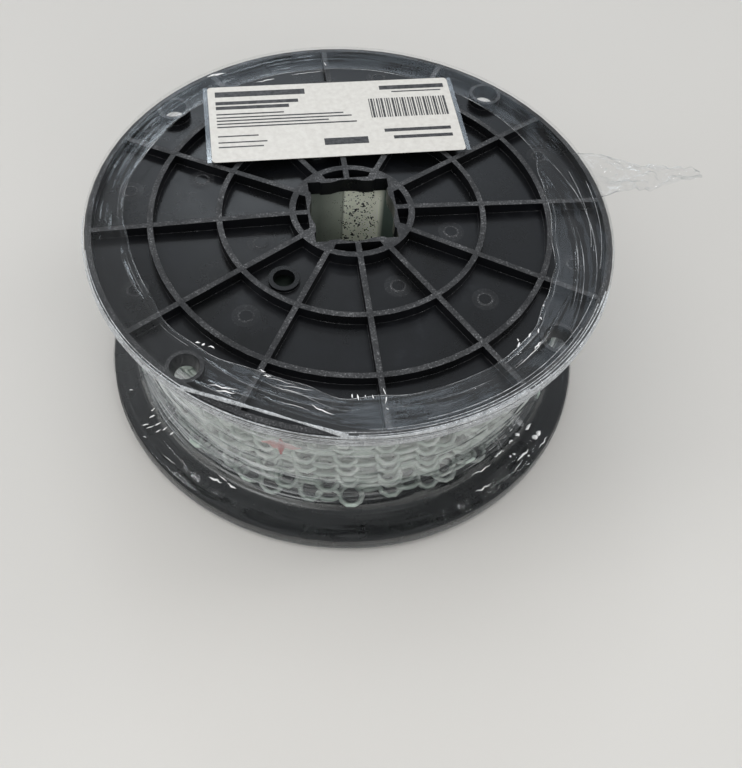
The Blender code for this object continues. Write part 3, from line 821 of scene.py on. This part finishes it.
# Painted highlights: short white marks, each from one angle and radius to another, with its
# thickness, in degrees and millimetres, laid where the film's folds catch the light: in the
# upper lap, then on the slope over the lower flange. Their spots were picked on the photo,
# turned into angles and radii with the fitted camera and then mostly laid again one by one.
LAP_GLINTS = (
    (232, 116.6, 238, 113, 0.7), (234, 117.6, 238, 114.6, 0.8), (254, 110.8, 259, 114.4, 0.7),
    (253, 119.4, 257, 121.6, 0.7), (242, 102.8, 250, 102.6, 0.3), (245, 104.4, 254, 104, 0.3),
    (244, 106, 252, 106.6, 0.3), (247, 111.6, 254, 113.4, 0.3), (222.6, 103.2, 223.6, 102.4, 0.8),
    (224.2, 102.2, 224.8, 101.6, 1.0), (225.8, 101.4, 227.4, 100.6, 0.8),
    (240, 100.4, 241.6, 100.2, 0.8), (241.4, 102.4, 243.4, 101.6, 0.7),
    (262.6, 103.8, 262.9, 105.2, 0.7), (263.9, 104.2, 264.2, 106.4, 0.8),
    (265.8, 104.1, 265.7, 105.4, 0.6), (267.3, 104.4, 267.6, 106, 0.7),
    (270, 101.2, 270.5, 104.6, 0.6), (270.6, 105.4, 270, 108.8, 0.7),
    (270, 110.4, 270.5, 112.2, 0.6), (312.4, 106.5, 313.6, 105.6, 0.7),
    (309.7, 105.2, 311.3, 104.6, 0.8), (305.6, 104.8, 307.1, 104.2, 0.7),
    (307, 103.2, 307.6, 102.6, 0.5), (301, 112.7, 312, 110.6, 0.3), (308, 110.8, 311, 110.3, 0.6),
    (316.4, 103.7, 317, 102.9, 0.6), (320.4, 101.2, 321, 100.4, 0.6),
    (121.5, 121, 116.5, 118.2, 1.6), (111.6, 103.6, 106, 102.4, 0.9), (101, 103, 90.5, 103, 0.4),
    (90, 107.6, 90.6, 111, 0.7),
)
SLOPE_GLINTS = (
    (318.6, 117, 320.4, 117.8, 2.8), (320, 117.7, 322, 118.2, 2.8), (319, 111.8, 321.8, 112.6, 2.0),
    (310.8, 117.7, 315.6, 118.2, 1.5), (305.6, 110, 309.5, 110.2, 1.5),
    (311.6, 110, 313.4, 110.4, 1.7), (314.8, 110.2, 316.4, 110.6, 1.6),
    (311.2, 114.4, 312, 114.8, 1.5), (309.9, 114, 310.6, 114.2, 1.4),
    (313.8, 120.4, 314.4, 120.8, 1.4), (297, 110.6, 304, 111, 0.7), (296.5, 117.2, 301, 117.9, 0.9),
    (308, 120.4, 312, 119.6, 0.5), (317.6, 122.6, 321.8, 122.6, 0.8),
    (227, 113.9, 230.8, 113.1, 1.6), (229, 111.4, 231.9, 111.4, 0.8),
    (232, 112.2, 234.8, 112.2, 1.3), (203.8, 120, 204.6, 116.6, 1.0),
    (205.2, 118.8, 205.8, 115.2, 1.1), (205.9, 115, 206.6, 111.8, 1.1),
    (207.5, 116.4, 208.1, 113.4, 1.0), (208.6, 113.4, 209.2, 110.6, 0.9),
    (203, 115.2, 203.8, 112.2, 1.0), (206.6, 122.2, 207.4, 121.2, 1.0),
    (192.6, 118.4, 193.2, 117, 0.7), (201.8, 113, 202.4, 110.8, 0.8),
    (211.2, 112, 211.9, 110.2, 0.8), (214, 119.6, 218, 119.2, 0.4),
)


def add_strand(joined, points, thickness, evenness=0.75, pointed=False):
    """Adds a rolled edge or a sharp crease of film as a thin, uneven cord. A low evenness
    lets it thin out to nothing here and there, and a pointed one thins out to its ends."""
    curve = bpy.data.curves.new("strand", "CURVE")
    curve.dimensions = "3D"
    curve.bevel_depth = thickness / 2
    curve.bevel_resolution = 2
    curve.use_fill_caps = True
    spline = curve.splines.new("POLY")
    spline.points.add(len(points) - 1)
    for n, point in enumerate(points):
        taper = math.sin(math.pi * n / (len(points) - 1)) if pointed else 1.0
        width = evenness + 1.2 * (1.2 - evenness) * noise.noise(point * 90)
        spline.points[n].co = (*point, 1.0)
        spline.points[n].radius = max(THINNEST_STRAND, width * taper)
    carrier = bpy.data.objects.new("strand", curve)
    bpy.context.scene.collection.objects.link(carrier)
    mesh = bpy.data.meshes.new_from_object(carrier)
    bpy.data.objects.remove(carrier, do_unlink=True)
    joined.from_mesh(mesh)
    bpy.data.meshes.remove(mesh)


def slope_height(radius):
    """How far the film lies from the middle plane where it slopes from chain to rim."""
    for (outer, far), (inner, near) in zip(WALL_CORNERS[3:], WALL_CORNERS[4:]):
        if outer >= radius / MM > inner:
            return (near + (far - near) * (radius / MM - inner) / (outer - inner)) * MM


def make_rim_strands(material):
    """The film's rolled edges round the upper rim and along the inner edge of its lap."""
    joined = bmesh.new()
    for n, (start, end, radius, drop, thickness) in enumerate(RIM_STRANDS):
        points = []
        for k in range(91):
            degrees = start + (end - start) * k / 90
            wander = noise.noise(Vector((degrees * 0.07, n * 3.1, 0.5)))
            points.append(polar((radius + 0.4 * wander) * MM, degrees,
                                RIM_TOP - (drop - 0.4 * wander) * MM))
        add_strand(joined, points, thickness * MM)
    for inset, start, end, thickness in LAP_LINES:
        points = []
        steps = round((end - start) / 2)
        for k in range(steps + 1):
            degrees = start + (end - start) * k / steps
            radius = lap_inner_radius(degrees, 1) + inset * MM
            height = rib_top(radius) + FILM_GAP + 0.45 * MM + crease_height(radius, degrees)
            points.append(polar(radius, degrees, height))
        add_strand(joined, points, thickness * MM, evenness=0.35)
    finish_piece("film_rim_strands", joined, material, 70)


def make_crease_highlights(material):
    """Painted highlights: thin pale cords of rolled film along the crests of the creases in the
    upper lap.
    """
    joined = bmesh.new()
    for start, end, first, last, height, width in LAP_CREASES:
        points = []
        for k in range(25):
            share = k / 24
            degrees = start + (end - start) * share
            radius = (first + (last - first) * share) * MM
            lift = crease_height(radius, degrees) + 0.1 * MM
            points.append(polar(radius, degrees, rib_top(radius) + FILM_GAP + lift))
        add_strand(joined, points, 0.5 * height * MM, evenness=0.3, pointed=True)
    finish_piece("film_crease_highlights", joined, material, 70)


def make_glints(material):
    """Painted highlights: short white marks in the upper lap and on the slope over the lower
    flange.
    """
    joined = bmesh.new()
    for glints, side in ((LAP_GLINTS, 1), (SLOPE_GLINTS, -1)):
        for first_angle, first_radius, last_angle, last_radius, thickness in glints:
            points = []
            for k in range(GLINT_STEPS + 1):
                share = k / GLINT_STEPS
                spot = Vector((4 * share, first_angle * 1.7, first_radius))
                wobble = GLINT_WOBBLE * noise.noise(spot)
                degrees = first_angle + (last_angle - first_angle) * share
                radius = (first_radius + (last_radius - first_radius) * share + wobble) * MM
                if side > 0:
                    height = rib_top(radius) + FILM_GAP + crease_height(radius, degrees)
                else:
                    height = -slope_height(radius)
                points.append(polar(radius, degrees, height + 0.4 * MM))
            add_strand(joined, points, thickness * MM, evenness=0.7, pointed=True)
    finish_piece("film_glints", joined, material, 70)


def make_chord_strand(material):
    """The taut rolled edge where the film crosses the rim in a straight line."""
    first = polar(REEL_RADIUS, CHORD_START)
    last = polar(REEL_RADIUS, CHORD_END)
    points = []
    for k in range(61):
        point = first.lerp(last, k / 60)
        point.z = rib_top(point.xy.length) + 0.9 * MM + 0.3 * MM * noise.noise(point * 60)
        points.append(point)
    joined = bmesh.new()
    add_strand(joined, points, CHORD_THICKNESS)
    finish_piece("film_chord_strand", joined, material, 70)


TAIL_ROOT_RADIUS = 125.3 * MM
TAIL_ROOT_HEIGHT = 46.2 * MM
TAIL_TIP = Vector((183.5, 21.0, 42.2)) * MM
TAIL_LENGTH = 62.0 * MM
TAIL_WIDTH = 18.0 * MM


def make_tail(material):
    """The torn end of the film, crumpled, which leaves it on the outside of the rim."""

    def place(along, across):
        root = polar(TAIL_ROOT_RADIUS, 2.5 + 15 * across, TAIL_ROOT_HEIGHT)
        tip = TAIL_TIP + Vector((0.0, (2 * across - 1) * 2.0 * MM, 0.0))
        point = root.lerp(tip, along ** 0.85)
        crumple = noise.noise(Vector((along * 6, across * 3, 2.0)))
        fine = noise.noise(Vector((along * 17, across * 9, 4.0)))
        fold = 1.0 - abs(noise.noise(Vector((along * 4, across * 7, 7.0)))) / 0.06
        free = min(1.0, along * 6)
        point.z += 1.6 * MM * math.sin(3 * math.pi * along) * math.cos(2 * math.pi * across)
        point.z += (2.4 * crumple + 1.6 * fine) * MM * free
        edge = max(0.0, abs(2 * across - 1) - 0.88) / 0.12
        return point, 0.75 * max(0.0, fold) * free + 0.5 * edge, 1.2

    bm = sheet_grid(60, 20, place, (TAIL_LENGTH, TAIL_WIDTH), closed=False)
    thin_shell("torn_film_end", bm, material, ["film_tail"])


# Label
LABEL_WIDTH = 125.4 * MM
LABEL_NEAR = Vector((-0.8, 35.8, 54.0)) * MM
LABEL_FAR = Vector((-0.8, 93.0, 52.22)) * MM
LABEL_CORNER = 2.0 * MM
LABEL_THICKNESS = 0.2 * MM
LABEL_BORDER = 2.2 * MM
INK_THICKNESS = 0.02 * MM


def label_matrix():
    """Puts a flat label, centred on the origin, over the ribs on the far side of the hub."""
    up_slope = (LABEL_FAR - LABEL_NEAR).normalized()
    side = Vector((1.0, 0.0, 0.0))
    place = Matrix((side, up_slope, side.cross(up_slope))).transposed().to_4x4()
    place.translation = (LABEL_NEAR + LABEL_FAR) / 2
    return place


def add_plate(bm, centre, width, height, low, thickness, corner=0.0):
    made = bmesh.ops.create_cube(bm, size=1.0)
    verts = made["verts"]
    bmesh.ops.scale(bm, vec=(width, height, thickness), verts=verts)
    bmesh.ops.translate(bm, vec=(centre[0], centre[1], low + thickness / 2), verts=verts)
    if corner:
        upright = [edge for edge in {e for v in verts for e in v.link_edges}
                   if abs(edge.verts[0].co.z - edge.verts[1].co.z) > thickness / 2]
        bmesh.ops.bevel(bm, geom=upright, offset=corner, segments=5, profile=0.5,
                        affect="EDGES", material=-1)


def make_label(material):
    bm = bmesh.new()
    height = (LABEL_FAR - LABEL_NEAR).length
    add_plate(bm, (0.0, 0.0), LABEL_WIDTH, height, 0.0, LABEL_THICKNESS, LABEL_CORNER)
    bmesh.ops.transform(bm, matrix=label_matrix(), verts=bm.verts)
    piece = finish_piece("label_sheet", bm, material)
    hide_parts("label")


def make_label_border(material):
    """The strip of clear backing that shows on either side of the label."""
    bm = bmesh.new()
    layers = bm.verts.layers.float.new("layers")
    height = (LABEL_FAR - LABEL_NEAR).length
    for side in (-1, 1):
        middle = side * (LABEL_WIDTH / 2 + LABEL_BORDER / 2 + 0.1 * MM)
        add_plate(bm, (middle, 0.0), LABEL_BORDER, height, 0.0, 0.1 * MM)
    for vert in bm.verts:
        vert[layers] = 2.0
    bmesh.ops.transform(bm, matrix=label_matrix(), verts=bm.verts)
    finish_piece("label_border", bm, material)


# Generic print: plain bars and a block of stripes. Each bar is its centre, width and height
# in millimetres, from the label's middle.
PRINT_BARS = (
    (-36.0, 22.5, 46.0, 4.2),
    (-38.0, 15.5, 42.0, 2.6), (-40.5, 11.8, 37.0, 2.6),
    (-42.0, 6.8, 34.0, 1.0), (-27.0, 4.2, 64.0, 1.0), (-25.0, 1.8, 68.0, 1.0),
    (-31.0, -0.6, 56.0, 1.0), (-24.0, -3.0, 70.0, 1.0),
    (-49.0, -10.0, 20.0, 0.9), (-47.0, -14.6, 24.0, 0.9), (-48.0, -18.0, 22.0, 0.9),
    (4.0, -17.5, 22.0, 5.0),
    (41.0, -11.2, 34.0, 2.4), (43.0, -16.6, 30.0, 2.4),
    (43.0, 22.5, 34.0, 3.2), (45.0, 19.0, 26.0, 0.9),
)
STRIPE_LEFT = 19.0
STRIPE_RIGHT = 58.0
STRIPE_MIDDLE = 6.5
STRIPE_HEIGHT = 15.0


def make_print(material):
    bm = bmesh.new()
    for x, y, width, height in PRINT_BARS:
        add_plate(bm, (x * MM, y * MM), width * MM, height * MM,
                  LABEL_THICKNESS, INK_THICKNESS)
    x = STRIPE_LEFT
    n = 0
    while x < STRIPE_RIGHT:
        width = (0.5, 1.1, 0.5, 0.8)[n % 4]
        add_plate(bm, ((x + width / 2) * MM, STRIPE_MIDDLE * MM), width * MM,
                  STRIPE_HEIGHT * MM, LABEL_THICKNESS, INK_THICKNESS)
        x += width + (0.5, 0.5, 0.9)[n % 3]
        n += 1
    bmesh.ops.transform(bm, matrix=label_matrix(), verts=bm.verts)
    finish_piece("label_print", bm, material)


def dress_tube(material):
    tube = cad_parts["core_tube"]
    tube.data.materials.clear()
    tube.data.materials.append(material)


def make_floor(material):
    bm = bmesh.new()
    bmesh.ops.create_grid(bm, x_segments=1, y_segments=1, size=3.0)
    bmesh.ops.translate(bm, vec=(0.0, 0.0, FLOOR_LEVEL), verts=bm.verts)
    mesh = bpy.data.meshes.new("floor")
    bm.to_mesh(mesh)
    bm.free()
    mesh.materials.append(material)
    floor = bpy.data.objects.new("floor", mesh)
    bpy.context.scene.collection.objects.link(floor)


def add_light(name, place, size, power, colour="#ffffff", mirrored=True):
    data = bpy.data.lights.new(name, "AREA")
    data.shape = "RECTANGLE"
    data.size, data.size_y = size
    data.energy = power
    data.color = linear(colour)[:3]
    light = bpy.data.objects.new(name, data)
    light.location = place
    light.rotation_euler = (-Vector(place)).to_track_quat("-Z", "Y").to_euler()
    light.visible_glossy = mirrored
    bpy.context.scene.collection.objects.link(light)


def make_lights():
    """Wide soft panels, which the gloss doesn't mirror, and narrow ceiling tubes and dim pale
    panels, which it does."""
    add_light("overhead_panel", (-0.3, -0.1, 1.6), (2.8, 2.2), 20.5, mirrored=False)
    add_light("front_panel", (0.1, -1.2, 0.9), (1.6, 0.5), 6.0, mirrored=False)
    add_light("left_panel", (-1.4, -0.1, 0.6), (0.6, 1.2), 6.0, mirrored=False)
    add_light("right_panel", (1.5, 0.4, 0.6), (0.6, 1.2), 7.0, mirrored=False)
    add_light("back_panel", (0.25, 2.1, 1.6), (1.4, 0.7), 3.8, "#dbe8f6")
    add_light("far_panel", (-0.05, 1.66, 1.55), (0.5, 0.3), 2.0, "#e8f0f6")
    add_light("near_panel", (0.15, 0.74, 1.6), (0.7, 0.2), 0.5, "#dbe8f6")
    add_light("right_far_panel", (0.85, 1.15, 1.6), (0.4, 0.5), 0.38, "#dbe8f6")
    add_light("ceiling_tube_1", (-1.1, 0.2, 1.5), (0.02, 0.6), 0.6)
    add_light("ceiling_tube_2", (0.95, 0.1, 1.5), (0.02, 0.6), 0.6)
    world = bpy.data.worlds.new("studio")
    world.use_nodes = True
    world.node_tree.nodes["Background"].inputs["Color"].default_value = linear("#fafbfc")
    world.node_tree.nodes["Background"].inputs["Strength"].default_value = 0.34
    bpy.context.scene.world = world
    bpy.context.scene.view_settings.view_transform = "Standard"
    bpy.context.scene.cycles.transparent_max_bounces = 32
    bpy.context.scene.cycles.caustics_reflective = False


def make_camera():
    data = bpy.data.cameras.new("camera")
    data.lens = CAMERA_LENS
    data.sensor_width = 36.0
    camera = bpy.data.objects.new("camera", data)
    ahead = Vector((
        math.sin(CAMERA_AZIMUTH) * math.cos(CAMERA_TILT),
        math.cos(CAMERA_AZIMUTH) * math.cos(CAMERA_TILT),
        -math.sin(CAMERA_TILT),
    ))
    right = Vector((math.cos(CAMERA_AZIMUTH), -math.sin(CAMERA_AZIMUTH), 0.0))
    up = right.cross(ahead)
    rolled_right = math.cos(CAMERA_ROLL) * right + math.sin(CAMERA_ROLL) * up
    rolled_up = math.cos(CAMERA_ROLL) * up - math.sin(CAMERA_ROLL) * right
    turn = Matrix((rolled_right, rolled_up, -ahead)).transposed().to_4x4()
    turn.translation = CAMERA_PLACE
    camera.matrix_world = turn
    bpy.context.scene.collection.objects.link(camera)
    bpy.context.scene.camera = camera


make_camera()
black = moulded_black_polystyrene()
zinc = zinc_plated_wire()
film = clear_stretch_film()
rolled_film = bunched_film()

make_flange("top_flange", 1, black)
make_flange("bottom_flange", -1, black)
dress_tube(recycled_paperboard())
wind_chain(zinc)
make_inner_turns(shaded_inner_turns())
make_end_tie(red_plastic_strip())
make_wall(film)
make_lap("film_top_lap", 1, film)
make_lap("film_bottom_lap", -1, painted_shade_film())
make_rim_strands(rolled_film)
make_crease_highlights(rolled_film)
make_glints(painted_glint_film())
make_chord_strand(rolled_film)
make_tail(film)
make_label(label_paper())
make_label_border(film)
make_print(label_ink())
make_floor(pale_table_laminate())
make_lights()
